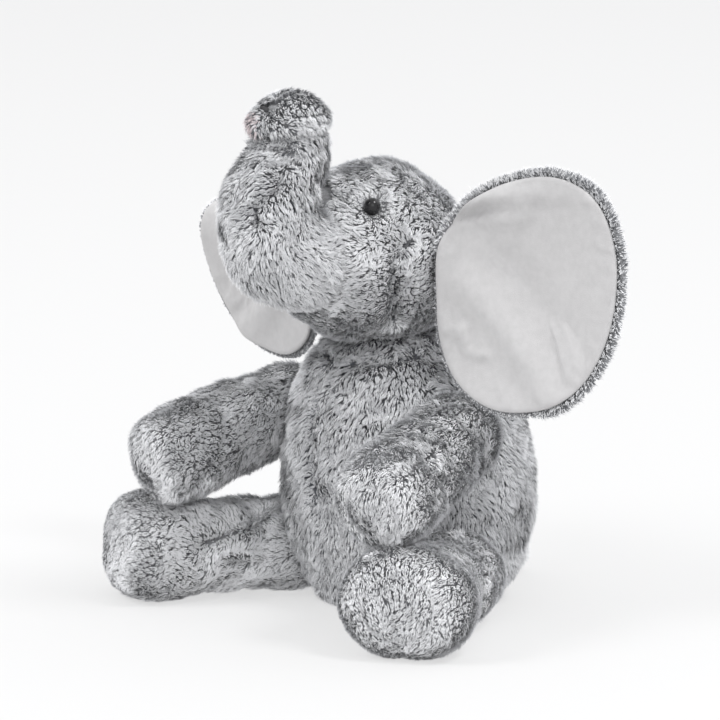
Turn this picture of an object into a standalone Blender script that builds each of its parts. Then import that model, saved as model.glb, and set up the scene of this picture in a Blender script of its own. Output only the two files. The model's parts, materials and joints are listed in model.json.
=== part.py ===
"""A sitting plush elephant, built from its sewn cover panels, stuffing, ears, safety eyes and tail.

Metres, +Z up. The toy sits on z = 0 and faces -Y; its own left side is +X. The origin is the middle
of the flat seat panel. Left and right pieces mirror each other, so loops over SIDES make both.
"""

import math

import bpy
import numpy as np

SIDES = (("left", 1.0), ("right", -1.0))
CLOTH = 0.003  # thickness of a cover panel, backing and pile together
SEAM = 0.0004  # room left between two panels at their seam
FILL_GAP = 0.0006  # room between a cover and the stuffing behind it

# Body: an egg that stands on a round seat; heights and radii of its outline, and its forward lean.
BODY_HEIGHTS = (0.0, 0.006, 0.020, 0.040, 0.070, 0.100, 0.130, 0.155, 0.175, 0.190)
BODY_RADII = (0.054, 0.063, 0.074, 0.082, 0.087, 0.087, 0.082, 0.073, 0.062, 0.050)
BODY_LEAN = 0.014  # how far forward of the seat's middle the neck opening is
SEAT_THICKNESS = 0.0024
BEAN_BAG_RADII = (0.050, 0.016)  # its outer radius and half its height
BEAN_BAG_HEIGHT = 0.0235  # height of its middle

# Head: a round skull that sits in the neck opening, a cone of a snout, and the raised trunk.
SKULL = np.array([0.0, -0.035, 0.258])
SKULL_RADIUS = 0.064
SNOUT = ((-0.080, 0.2570, 0.0540), (-0.097, 0.2600, 0.0450))  # y, z and radius of its last rings
GUSSET_HALF = 0.40  # half the angle that the crown strip takes of the head's girth, in radians
CHIN_HALF = 0.34  # the same for the strip under the chin
SKULL_POLARS = np.radians((3, 14, 28, 43, 58, 74, 90, 104))  # where the skull's rings lie, from its back
TRUNK_ROOT = np.array([0.0, -0.114, 0.264])
TRUNK_RINGS = (
    (-0.0980, 0.2605, 0.0335),  # y, z and radius, from inside the snout to the tip
    (-0.1140, 0.2640, 0.0375),
    (-0.1290, 0.2715, 0.0370),
    (-0.1385, 0.2870, 0.0345),
    (-0.1385, 0.3050, 0.0315),
    (-0.1285, 0.3210, 0.0293),
    (-0.1195, 0.3360, 0.0262),
    (-0.1215, 0.3545, 0.0252),
    (-0.1295, 0.3625, 0.0215),
)
TIP_DOME = 0.0040  # how far the trunk's tip swells beyond its seam

# Eyes: black domes on stems, each held by a washer behind the cover.
EYE_ANGLE = math.radians(43)  # down from the crown, round the head
EYE_PLACE = 0.9  # share of the way from the skull's front ring to the snout's first ring
EYE_RADIUS = 0.006
EYE_HEIGHT = 0.0042
STEM_RADIUS = 0.0020
STEM_LENGTH = 0.0105
STEM_ROOM = 0.0003  # room round the stem in the cover and in its washer
WASHER_RADIUS = 0.0075
WASHER_THICKNESS = 0.0016
WASHER_DEPTH = CLOTH + 0.0022  # how far the washer's front lies below the cover's outside
WASHER_ROOM = 0.0012

# Ears: rounded plates that stand out from the sides of the head. Each leans its own way, and the top
# of the right one is bent back: root, sweep back, lean back, size and the height where a bend starts.
EARS = {
    "left": dict(root=(0.0685, -0.044, 0.235), sweep=11.8, lean=5.5, size=1.0, bend=1.0),
    "right": dict(root=(0.0685, -0.031, 0.234), sweep=8.6, lean=-13.5, size=0.94, bend=0.009),
}
BEND_RADIUS = 0.032
BEND_ANGLE = math.radians(95)
EAR_OUTLINE = (
    (0.000, 0.040),
    (0.020, 0.066),
    (0.054, 0.086),
    (0.093, 0.092),
    (0.127, 0.078),
    (0.146, 0.042),
    (0.148, -0.002),
    (0.136, -0.040),
    (0.112, -0.067),
    (0.080, -0.078),
    (0.048, -0.077),
    (0.021, -0.060),
    (0.005, -0.032),
    (0.000, 0.004),
)
EAR_MIDDLE = (0.075, 0.006)
EAR_CUP = 0.014  # how far the middle of the ear lies behind its rim
EAR_BACK_THICKNESS = 0.006
LINING_THICKNESS = 0.0022
LINING_SHARES = (0.24, 0.48, 0.72, 0.955)  # rings of the lining, as shares of the ear's outline

# Limbs: centres of the root and the end, radii along the limb, length past the end, and how much
# wider than high the end is.
ARM = dict(
    root=(0.0855, -0.041, 0.136),
    end=(0.109, -0.132, 0.1075),
    root_radius=0.0265,
    waist_radius=0.0285,
    end_radius=0.0315,
    past=0.022,
    wide=1.0,
)
LEG = dict(
    root=(0.083, -0.042, 0.0335),
    end=(0.132, -0.136, 0.0378),
    root_radius=0.0300,
    waist_radius=0.0290,
    end_radius=0.0375,
    past=0.024,
    wide=1.18,
)
SOCKET_ROOM = 0.0048  # room round the root of a limb
DISH_ROOM = 0.0010  # room round the skull in the filling of the body

TAIL_ROOT = np.array([0.0, 0.0945, 0.058])
TAIL_TIP = np.array([0.0, 0.112, 0.017])
TAIL_RADIUS = 0.0055
TUFT_RADIUS = 0.0085
TAIL_SEAM = 0.78  # share of the tail's length where its tuft is sewn on


def clear_scene():
    for obj in list(bpy.data.objects):
        bpy.data.objects.remove(obj, do_unlink=True)


def make_material(name, colour, roughness):
    material = bpy.data.materials.new(name)
    material.use_nodes = True
    shader = material.node_tree.nodes["Principled BSDF"]
    shader.inputs["Base Color"].default_value = (*colour, 1.0)
    shader.inputs["Roughness"].default_value = roughness
    shader.inputs["Metallic"].default_value = 0.0
    return material


def unit(vector):
    return np.asarray(vector, float) / np.linalg.norm(vector)


def mirrored(point, side):
    return np.array([point[0] * side, point[1], point[2]])


def add_object(name, points, faces, material, origin=(0.0, 0.0, 0.0)):
    """An object from world points; its origin is put on the joint that the piece turns about."""
    points = np.asarray(points, float)
    faces = [tuple(int(i) for i in face) for face in faces]
    if signed_volume(points, faces) < 0:
        faces = [face[::-1] for face in faces]
    mesh = bpy.data.meshes.new(name)
    mesh.from_pydata((points - origin).tolist(), [], faces)
    mesh.materials.append(material)
    mesh.shade_smooth()
    mesh.set_sharp_from_angle(angle=math.radians(40))
    obj = bpy.data.objects.new(name, mesh)
    obj.location = origin
    bpy.context.scene.collection.objects.link(obj)
    return obj


def signed_volume(points, faces):
    total = 0.0
    for face in faces:
        first = points[face[0]]
        for second, third in zip(face[1:], face[2:]):
            total += np.dot(first, np.cross(points[second], points[third]))
    return total


def smooth_path(values, places):
    """Catmull-Rom interpolation of rows of values at fractional row numbers."""
    values = np.asarray(values, float)
    padded = np.vstack([2 * values[0] - values[1], values, 2 * values[-1] - values[-2]])
    found = []
    for place in places:
        row = min(int(place), len(values) - 2)
        t = place - row
        before, here, there, after = padded[row : row + 4]
        found.append(
            0.5
            * (
                2 * here
                + (there - before) * t
                + (2 * before - 5 * here + 4 * there - after) * t**2
                + (3 * here - before - 3 * there + after) * t**3
            )
        )
    return np.array(found)


# ---------------------------------------------------------------- solids from a surface


def shell_panel(name, surface, rows, angles, material, shift=(0, 0, 0), origin=(0, 0, 0)):
    """A cloth panel: a patch of surface(row, angle, inset) with its inner side one cloth deeper."""
    count_r, count_a = len(rows), len(angles)
    outer = [surface(row, angle, 0.0) for row in rows for angle in angles]
    inner = [surface(row, angle, CLOTH) for row in rows for angle in angles]
    points = np.array(outer + inner) + np.asarray(shift, float)
    below = count_r * count_a
    faces = []
    for i in range(count_r - 1):
        for j in range(count_a - 1):
            a = i * count_a + j
            quad = (a, a + 1, a + count_a + 1, a + count_a)
            faces.append(quad)
            faces.append(tuple(k + below for k in quad[::-1]))
    edge = list(range(count_a))
    edge += [i * count_a + count_a - 1 for i in range(1, count_r)]
    edge += [(count_r - 1) * count_a + j for j in range(count_a - 2, -1, -1)]
    edge += [i * count_a for i in range(count_r - 2, 0, -1)]
    for here, there in zip(edge, edge[1:] + edge[:1]):
        faces.append((there, here, here + below, there + below))
    return add_object(name, points, faces, material, origin)


def closed_core(name, surface, rows, around, inset, material, origin=(0, 0, 0)):
    """A solid from the rings of surface(row, angle, inset), closed by a flat fan at each end."""
    turns = np.linspace(0, 2 * math.pi, around, endpoint=False)
    rings = [[surface(row, angle, inset) for angle in turns] for row in rows]
    points = [point for ring in rings for point in ring]
    first, last = len(points), len(points) + 1
    points += [np.mean(rings[0], axis=0), np.mean(rings[-1], axis=0)]
    faces = []
    for i in range(len(rows) - 1):
        for j in range(around):
            k = (j + 1) % around
            faces.append((i * around + j, i * around + k, (i + 1) * around + k, (i + 1) * around + j))
    end = (len(rows) - 1) * around
    for j in range(around):
        k = (j + 1) % around
        faces.append((first, k, j))
        faces.append((last, end + j, end + k))
    return add_object(name, points, faces, material, origin)


def turned(name, profile, around, centre, axis, material, origin=(0, 0, 0), wide=1.0, up=(0, 0, 1)):
    """A solid of revolution: profile is (distance along axis, radius), closed at both ends."""
    axis = unit(axis)
    across = unit(np.cross(axis, up))
    upward = np.cross(across, axis)

    def surface(row, angle, inset):
        along, radius = profile[row]
        ring = across * (wide * math.cos(angle)) + upward * math.sin(angle)
        return np.asarray(centre, float) + axis * along + ring * radius

    return closed_core(name, surface, range(len(profile)), around, 0.0, material, origin)


def cut(obj, cutter):
    cutter.hide_render = True
    cutter.display_type = "WIRE"
    modifier = obj.modifiers.new("cut_" + cutter.name, "BOOLEAN")
    modifier.operation = "DIFFERENCE"
    modifier.solver = "EXACT"
    modifier.object = cutter


# ---------------------------------------------------------------- body


def body_surface(height_place, angle, inset):
    """The body's skin at a place along BODY_HEIGHTS: angle 0 is +X, a quarter turn is +Y (the back)."""
    height, radius = smooth_path(np.column_stack([BODY_HEIGHTS, BODY_RADII]), [height_place])[0]
    lean = BODY_LEAN * (height / BODY_HEIGHTS[-1]) ** 3
    lift = inset if height_place < 0.5 else 0.0
    across = np.array([math.cos(angle), math.sin(angle), 0.0]) * (radius - inset)
    return np.array([0.0, -lean, height + lift]) + across


def ball(name, centre, radius, material, detail=24):
    """A closed ball, for cutting the places where one stuffed piece presses into another."""
    arc = np.linspace(0, math.pi, detail // 2 + 1)[1:-1]
    profile = [(-radius * math.cos(a), radius * math.sin(a)) for a in arc]
    return turned(name, profile, detail, centre, (0, 0, 1), material, up=(0, 1, 0))


def make_body(plush, stuffing):
    quarter = math.pi / 2
    rows = np.linspace(0, len(BODY_HEIGHTS) - 1, 13)
    panels = {}
    for back_front, sign_y in (("front", -1.0), ("back", 1.0)):
        for side_name, side in SIDES:
            middle = math.atan2(sign_y, side)
            angles = np.linspace(middle - quarter / 2, middle + quarter / 2, 7)
            shift = (side * SEAM / 2, sign_y * SEAM / 2, 0)
            name = f"body_{back_front}_{side_name}"
            panels[name] = shell_panel(name, body_surface, rows, angles, plush, shift)
    seat_radius = BODY_RADII[0] - CLOTH - SEAM
    seat = [(0.0, seat_radius), (SEAT_THICKNESS, seat_radius)]
    turned("seat_panel", seat, 32, (0, 0, 0), (0, 0, 1), plush, up=(0, 1, 0))
    bag_radius, bag_half = BEAN_BAG_RADII
    arc = np.linspace(-math.pi / 2 + 0.2, math.pi / 2 - 0.2, 7)
    bag = [(bag_half * math.sin(a), bag_radius * (0.55 + 0.45 * math.cos(a))) for a in arc]
    turned("bean_bag", bag, 20, (0, 0, BEAN_BAG_HEIGHT), (0, 0, 1), stuffing, up=(0, 1, 0))
    filling_rows = rows[(rows > 3.3) & (rows < len(BODY_HEIGHTS) - 1.3)]
    filling = closed_core(
        "body_stuffing", body_surface, filling_rows, 24, CLOTH + FILL_GAP, stuffing
    )
    cut(filling, ball("skull_dish", SKULL, SKULL_RADIUS + DISH_ROOM, stuffing, 36))
    for kind, limb in (("arm", ARM), ("leg", LEG)):
        for side_name, side in SIDES:
            centre = mirrored(limb["root"], side)
            radius = limb["root_radius"] + SOCKET_ROOM
            socket = ball(f"{side_name}_{kind}_hole", centre, radius, stuffing)
            cut(panels[f"body_front_{side_name}"], socket)
            cut(filling, socket)


# ---------------------------------------------------------------- head and trunk


def ring_frame(points, row):
    """Centre line direction at a row of (y, z) points in the middle plane, and the ring's up direction."""
    before = points[max(row - 1, 0)]
    after = points[min(row + 1, len(points) - 1)]
    forward = unit([0.0, after[0] - before[0], after[1] - before[1]])
    upward = np.cross(forward, [1.0, 0.0, 0.0])
    return forward, upward


def head_rings(inset):
    """Rows of (y, z, radius) from the back of the skull to the snout's rim."""
    radius = SKULL_RADIUS - inset
    rings = []
    for polar in SKULL_POLARS:
        rings.append((SKULL[1] + radius * math.cos(polar), SKULL[2], radius * math.sin(polar)))
    last = rings[-1]
    for y, z, ring in SNOUT:
        rings.append((min(y, last[0] - 0.004), z, ring - inset))
    return rings


def head_surface(row, angle, inset):
    """Angle 0 is the crown, a quarter turn is the toy's left, half a turn is the chin."""
    y, z, radius = head_rings(inset)[row]
    return np.array([radius * math.sin(angle), y, z + radius * math.cos(angle)])


def trunk_surface(row, angle, inset):
    rings = TRUNK_RINGS
    centres = [ring[:2] for ring in rings]
    _, upward = ring_frame(centres, row)
    y, z, radius = rings[row]
    ring = np.array([1.0, 0, 0]) * math.sin(angle) + upward * math.cos(angle)
    return np.array([0.0, y, z]) + ring * (radius - inset)


def eye_seat(side):
    """The point of the cover where an eye sits, and the way it looks out."""
    front = len(head_rings(0.0)) - len(SNOUT) - 1
    behind = head_surface(front, EYE_ANGLE * side, 0.0)
    ahead = head_surface(front + 1, EYE_ANGLE * side, 0.0)
    beside = head_surface(front, (EYE_ANGLE + 0.1) * side, 0.0)
    outward = unit(np.cross(ahead - behind, beside - behind)) * side
    seat = behind + (ahead - behind) * EYE_PLACE + np.array([side * SEAM, 0, 0])
    return seat, outward


def make_head(plush, stuffing, gloss, plastic):
    rows = range(len(head_rings(0.0)))
    side_span = (GUSSET_HALF, math.pi - CHIN_HALF)
    panels = {}
    for side_name, side in SIDES:
        angles = np.linspace(*side_span, 9) * side
        shift = (side * SEAM, 0, 0)
        panels[side] = shell_panel(
            f"head_{side_name}_panel", head_surface, rows, angles, plush, shift, SKULL
        )
    crown = np.linspace(-GUSSET_HALF, GUSSET_HALF, 5)
    chin = np.linspace(math.pi - CHIN_HALF, math.pi + CHIN_HALF, 5)
    shell_panel("crown_gusset", head_surface, rows, crown, plush, (0, 0, 0), SKULL)
    shell_panel("chin_gusset", head_surface, rows, chin, plush, (0, 0, 0), SKULL)
    core_rows = range(len(head_rings(0.0)) - 1)
    core = closed_core(
        "head_stuffing", head_surface, core_rows, 20, CLOTH + FILL_GAP, stuffing, SKULL
    )
    for side_name, side in SIDES:
        seat, outward = eye_seat(side)
        arc = np.linspace(0, math.pi / 2, 6)[1:]
        dome = [(EYE_HEIGHT * math.cos(a), EYE_RADIUS * math.sin(a)) for a in arc]
        foot = [(0.0003, EYE_RADIUS * 0.97), (0.0003, STEM_RADIUS), (-STEM_LENGTH, STEM_RADIUS)]
        eye = [(EYE_HEIGHT, 0.0008), *dome[:-1], (0.0010, EYE_RADIUS), *foot]
        turned(f"{side_name}_eye", eye[::-1], 20, seat, outward, gloss, SKULL)
        hole_radius = STEM_RADIUS + STEM_ROOM
        hole = [(-2 * STEM_LENGTH, hole_radius), (STEM_LENGTH, hole_radius)]
        cutter = turned(f"{side_name}_eye_hole", hole, 16, seat, outward, plastic)
        cut(panels[side], cutter)
        make_washer(side_name, seat - outward * WASHER_DEPTH, outward, plastic)
        room_radius = WASHER_RADIUS + WASHER_ROOM
        room = [(-1.5 * STEM_LENGTH, room_radius), (0.4 * STEM_LENGTH, room_radius)]
        pocket = turned(f"{side_name}_washer_room", room, 16, seat, outward, plastic)
        cut(core, pocket)


def make_washer(side_name, centre, axis, plastic):
    """A flat ring that grips the eye's stem, its bore just wider than the stem."""
    inner, outer = STEM_RADIUS + STEM_ROOM, WASHER_RADIUS
    across = unit(np.cross(axis, (0, 0, 1)))
    upward = np.cross(across, axis)
    around = 20
    corners = ((0.0, inner), (0.0, outer), (-WASHER_THICKNESS, outer), (-WASHER_THICKNESS, inner))
    points = []
    for along, radius in corners:
        for j in range(around):
            turn = 2 * math.pi * j / around
            ring = across * math.cos(turn) + upward * math.sin(turn)
            points.append(centre + axis * along + ring * radius)
    faces = []
    for i in range(4):
        for j in range(around):
            k, n = (j + 1) % around, (i + 1) % 4
            faces.append((i * around + j, i * around + k, n * around + k, n * around + j))
    add_object(f"{side_name}_eye_washer", points, faces, plastic, SKULL)


def make_trunk(plush, stuffing, velour):
    rows = range(len(TRUNK_RINGS))
    for side_name, side in SIDES:
        angles = np.linspace(0.0, math.pi, 9) * side
        shift = (side * SEAM / 2, 0, 0)
        shell_panel(
            f"trunk_{side_name}_panel", trunk_surface, rows, angles, plush, shift, TRUNK_ROOT
        )
    y, z, radius = TRUNK_RINGS[-1]
    forward, _ = ring_frame([ring[:2] for ring in TRUNK_RINGS], len(TRUNK_RINGS) - 1)
    tip_radius = radius - CLOTH - SEAM
    arc = np.linspace(0, math.pi / 2 - 0.15, 5)
    dome = [(TIP_DOME * math.sin(a), tip_radius * math.cos(a)) for a in arc]
    tip = [(-CLOTH, tip_radius), *dome]
    turned("trunk_tip", tip, 24, (0, y, z), forward, velour, TRUNK_ROOT, up=(1, 0, 0))
    core_rows = range(1, len(TRUNK_RINGS) - 1)
    closed_core(
        "trunk_stuffing", trunk_surface, core_rows, 16, CLOTH + 2 * FILL_GAP, stuffing, TRUNK_ROOT
    )


# ---------------------------------------------------------------- ears


def ear_point(side_name, side, out, height, back):
    """A point from its place in the ear: out from the root, up from the ear's middle, and back."""
    ear = EARS[side_name]
    sweep, lean = math.radians(ear["sweep"]), math.radians(ear["lean"])
    outward = np.array([math.cos(sweep), math.sin(sweep), 0.0])
    behind = np.array([-math.sin(sweep), math.cos(sweep), 0.0])
    rise = np.array([0.0, math.sin(lean), math.cos(lean)])
    up, back = bent_back(height * ear["size"], back, ear["bend"])
    point = np.array(ear["root"]) + outward * (out * ear["size"]) + behind * back + rise * up
    return mirrored(point, side)


def bent_back(height, depth, start):
    """Height and depth of a point once the part above the start is rolled backwards."""
    past = max(height - start, 0.0)
    turn = min(past / BEND_RADIUS, BEND_ANGLE)
    straight = past - turn * BEND_RADIUS
    up = min(height, start) + BEND_RADIUS * math.sin(turn) + straight * math.cos(turn)
    back = BEND_RADIUS * (1 - math.cos(turn)) + straight * math.sin(turn)
    return up - depth * math.sin(turn), back + depth * math.cos(turn)


def ear_plate(name, side_name, side, shares, front, thickness, material):
    """A dished plate: rings at shares of EAR_OUTLINE round the ear's middle, on its front and back."""
    outline = np.array(EAR_OUTLINE + EAR_OUTLINE[:3])
    places = np.linspace(1, len(EAR_OUTLINE) + 1, 29)[:-1]
    rim = smooth_path(outline, places)
    middle = np.array(EAR_MIDDLE)
    around = len(rim)
    points = []
    for depth in (front, front + thickness):
        points.append(ear_point(side_name, side, *middle, depth + EAR_CUP))
        for share in shares:
            place = middle + (rim - middle) * share
            back = depth + EAR_CUP * (1 - share**2)
            points += [ear_point(side_name, side, *spot, back) for spot in place]
    faces = []
    half = 1 + len(shares) * around
    for face in (0, 1):
        base = face * half
        for j in range(around):
            k = (j + 1) % around
            faces.append((base, base + 1 + j, base + 1 + k)[:: 1 - 2 * face])
            for i in range(len(shares) - 1):
                here, there = base + 1 + i * around, base + 1 + (i + 1) * around
                faces.append((here + j, there + j, there + k)[:: 1 - 2 * face])
                faces.append((here + j, there + k, here + k)[:: 1 - 2 * face])
    front_rim = 1 + (len(shares) - 1) * around
    back_rim = half + front_rim
    for j in range(around):
        k = (j + 1) % around
        faces.append((front_rim + j, back_rim + j, back_rim + k, front_rim + k))
    return add_object(name, points, faces, material, mirrored(EARS[side_name]["root"], side))


def make_ears(plush, velour):
    front = -SEAM - LINING_THICKNESS
    for side_name, side in SIDES:
        back, lining = f"{side_name}_ear_back", f"{side_name}_ear_lining"
        ear_plate(back, side_name, side, (*LINING_SHARES, 1.0), 0.0, EAR_BACK_THICKNESS, plush)
        ear_plate(lining, side_name, side, LINING_SHARES, front, LINING_THICKNESS, velour)


# ---------------------------------------------------------------- limbs


def limb_profile(limb, length, inset):
    """Rows of (distance along the limb, radius): root dome, waist, swelling end and its rim."""
    root = limb["root_radius"] - inset
    end = limb["end_radius"] - inset
    rows = []
    for polar in np.radians((8, 30, 52, 74)):
        rows.append((-root * math.cos(polar), root * math.sin(polar)))
    rows.append((length * 0.12, root * 1.0))
    rows.append((length * 0.42, limb["waist_radius"] - inset))
    rows.append((length * 0.72, 0.5 * (limb["waist_radius"] + limb["end_radius"]) - inset))
    rows.append((length * 1.0, end))
    past = limb["past"] - inset
    for turn in np.radians((38, 72)):
        rows.append((length + past * math.sin(turn), end * (0.55 + 0.45 * math.cos(turn))))
    return rows


def make_limb(kind, limb, panel_names, end_name, side_name, side, plush, stuffing):
    root = mirrored(limb["root"], side)
    end = mirrored(limb["end"], side)
    axis = unit(end - root)
    length = float(np.linalg.norm(end - root))
    across = unit(np.cross(axis, (0, 0, 1))) * side
    upward = unit(np.cross(across, axis)) * side

    def surface(row, angle, inset):
        """Angle 0 is the top of the limb; a quarter turn is its side away from the body's middle."""
        along, radius = limb_profile(limb, length, inset)[row]
        wide = 1 + (limb["wide"] - 1) * min(max(along / length, 0.0), 1.0)
        ring = -across * (wide * math.sin(angle)) + upward * math.cos(angle)
        return root + axis * along + ring * radius

    rows = range(len(limb_profile(limb, length, 0.0)))
    for panel, turn in zip(panel_names, (1.0, -1.0)):
        angles = np.linspace(0, math.pi, 8) * turn
        shift = -across * turn * SEAM / 2
        shell_panel(
            f"{side_name}_{kind}_{panel}", surface, rows, angles, plush, shift, root
        )
    last, rim = limb_profile(limb, length, 0.0)[-1]
    pad_radius = rim - CLOTH - SEAM
    pad = [
        (last - CLOTH, pad_radius),
        (last - 0.0006, pad_radius),
        (last + 0.0012, pad_radius * 0.7),
        (last + 0.0020, pad_radius * 0.3),
    ]
    turned(
        f"{side_name}_{end_name}", pad, 24, root, axis, plush, root, wide=limb["wide"]
    )
    deep = CLOTH + FILL_GAP
    closed_core(f"{side_name}_{kind}_stuffing", surface, rows, 14, deep, stuffing, root)


# ---------------------------------------------------------------- tail


def make_tail(plush):
    axis = unit(TAIL_TIP - TAIL_ROOT)
    length = float(np.linalg.norm(TAIL_TIP - TAIL_ROOT))
    arc = np.radians((8, 40, 70))
    cord = [(-TAIL_RADIUS * math.cos(a), TAIL_RADIUS * math.sin(a)) for a in arc]
    seam = length * TAIL_SEAM
    cord += [(0.001, TAIL_RADIUS), (seam * 0.9, TAIL_RADIUS * 0.75), (seam, TAIL_RADIUS * 0.7)]
    turned("tail", cord, 12, TAIL_ROOT, axis, plush, TAIL_ROOT, up=(1, 0, 0))
    half = length * (1 - TAIL_SEAM) * 0.82
    arc = np.linspace(math.radians(10), math.radians(170), 8)
    middle = seam + SEAM + half
    tuft = [(middle - half * math.cos(a), TUFT_RADIUS * math.sin(a)) for a in arc]
    turned("tail_tuft", tuft, 14, TAIL_ROOT, axis, plush, TAIL_ROOT, up=(1, 0, 0))


def main():
    clear_scene()
    plush = make_material("grey_plush", (0.30, 0.31, 0.33), 0.95)
    velour = make_material("white_velour", (0.86, 0.85, 0.85), 0.9)
    stuffing = make_material("stuffing", (0.9, 0.9, 0.88), 1.0)
    gloss = make_material("black_gloss_plastic", (0.012, 0.012, 0.013), 0.12)
    plastic = make_material("white_plastic", (0.75, 0.75, 0.73), 0.45)
    make_body(plush, stuffing)
    make_head(plush, stuffing, gloss, plastic)
    make_trunk(plush, stuffing, velour)
    make_ears(plush, velour)
    for side_name, side in SIDES:
        make_limb("arm", ARM, ("outer", "inner"), "paw_pad", side_name, side, plush, stuffing)
        make_limb("leg", LEG, ("outer", "inner"), "foot_sole", side_name, side, plush, stuffing)
    make_tail(plush)


main()
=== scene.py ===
import json
import math

import bmesh
import bpy
import numpy as np
from mathutils import Matrix, Vector
from mathutils.bvhtree import BVHTree


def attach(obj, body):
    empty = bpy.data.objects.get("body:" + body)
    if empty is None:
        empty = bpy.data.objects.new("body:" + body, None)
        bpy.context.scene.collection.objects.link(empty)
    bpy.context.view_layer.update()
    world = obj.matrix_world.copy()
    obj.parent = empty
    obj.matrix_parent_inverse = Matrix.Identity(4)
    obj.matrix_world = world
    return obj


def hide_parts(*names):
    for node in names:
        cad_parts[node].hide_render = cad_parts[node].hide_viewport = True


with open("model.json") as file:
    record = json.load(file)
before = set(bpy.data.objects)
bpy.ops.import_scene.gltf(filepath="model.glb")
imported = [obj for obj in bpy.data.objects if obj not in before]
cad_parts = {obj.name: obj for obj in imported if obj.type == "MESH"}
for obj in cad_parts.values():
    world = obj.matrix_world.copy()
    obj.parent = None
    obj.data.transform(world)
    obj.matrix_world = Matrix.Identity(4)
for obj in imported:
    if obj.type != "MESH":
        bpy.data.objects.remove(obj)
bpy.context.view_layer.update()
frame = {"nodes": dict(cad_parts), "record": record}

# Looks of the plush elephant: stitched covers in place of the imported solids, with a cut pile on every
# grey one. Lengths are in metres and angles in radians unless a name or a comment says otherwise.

SIDES = (("left", 1.0), ("right", -1.0))
JOINTS = {joint["name"]: joint for joint in frame["record"]["behaviour"]["joints"]}
UP = np.array([0.0, 0.0, 1.0])

# ---------------------------------------------------------------- numbers of the toy

# Rings of the covers: height and radius for the body; Y, Z and radius for snout and trunk.
BODY_PROFILE = (
    (0.0, 0.050), (0.004, 0.062), (0.020, 0.074), (0.040, 0.082), (0.070, 0.087), (0.100, 0.087),
    (0.130, 0.082), (0.155, 0.073), (0.175, 0.062), (0.190, 0.049), (0.200, 0.034), (0.206, 0.012),
)
BODY_LEAN = 0.014
BODY_LEAN_HEIGHT = 0.190
SKULL_RADIUS = 0.064
SKULL_POLARS = (3, 14, 28, 43, 58, 74, 90, 104)  # degrees from the back of the skull
CROWN_HALF = 0.40
CHIN_HALF = 0.34
SNOUT_STEP = 0.004
SNOUT = (
    (-0.080, 0.2570, 0.0540),
    (-0.097, 0.2600, 0.0450),
    (-0.104, 0.2612, 0.0360),
    (-0.107, 0.2620, 0.0180),
)
TRUNK_RINGS = (
    (-0.0890, 0.2585, 0.0160),
    (-0.0930, 0.2590, 0.0290),
    (-0.1020, 0.2612, 0.0352),
    (-0.1140, 0.2640, 0.0375),
    (-0.1290, 0.2715, 0.0370),
    (-0.1385, 0.2870, 0.0345),
    (-0.1385, 0.3050, 0.0315),
    (-0.1285, 0.3210, 0.0290),
    (-0.1195, 0.3360, 0.0262),
    (-0.1200, 0.3480, 0.0256),
    (-0.1245, 0.3575, 0.0252),
    (-0.1305, 0.3635, 0.0215),
    (-0.1352, 0.3682, 0.0130),
    (-0.1366, 0.3696, 0.0040),
)
# Ears: sweep and lean in degrees, share of the full size, and the height at which the top bends back.
EARS = {
    "left": dict(sweep=11.8, lean=5.5, size=1.0, bend=1.0),
    "right": dict(sweep=8.6, lean=-13.5, size=0.94, bend=0.009),
}
BEND_RADIUS = 0.032
BEND_ANGLE = math.radians(95)
EAR_OUTLINE = (
    (0.000, 0.040), (0.020, 0.066), (0.054, 0.086), (0.093, 0.092), (0.127, 0.078),
    (0.146, 0.042), (0.148, -0.002), (0.136, -0.040), (0.112, -0.067), (0.080, -0.078),
    (0.048, -0.077), (0.021, -0.060), (0.005, -0.032), (0.000, 0.004),
)
EAR_MIDDLE = (0.075, 0.006)
EAR_CUP = 0.014
LINING_SHARE = 0.962
# Limbs: the end of the middle line, radii at root, waist and end, the end's bulge, and the width's share.
ARM = dict(end=(0.109, -0.132, 0.1075), radii=(0.0265, 0.0285, 0.0315), past=0.022, wide=1.0)
LEG = dict(end=(0.132, -0.136, 0.0378), radii=(0.0300, 0.0290, 0.0375), past=0.026, wide=1.18)

# The trunk's end: a cap behind a sloping seam, with a lip in front and a nostril's slit on top.
CAP_HEIGHT = 0.3515
CAP_SLOPE = 0.10
CAP_Y = -0.125
TRUNK_LIP = np.array([-0.008, -0.1470, 0.3590])
NOSTRIL_SLIT = ((-0.0085, -0.1350, 0.3660), (-0.0045, -0.1372, 0.3642), (0.0005, -0.1385, 0.3620))

# Seams: how deep the cover is drawn in, and how wide the dip is.
BODY_SEAM = (0.0026, 0.0035)
HEAD_SEAM = (0.0016, 0.0030)
TRUNK_SEAM = (0.0012, 0.0030)
CAP_SEAM = (0.0030, 0.0035)
NOSTRIL_DIP = (0.0030, 0.0026)
LIMB_SEAM = (0.0016, 0.0030)
PAD_SEAM = (0.0030, 0.0030)
EYE_SOCKET = (0.0016, 0.0090)

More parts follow.
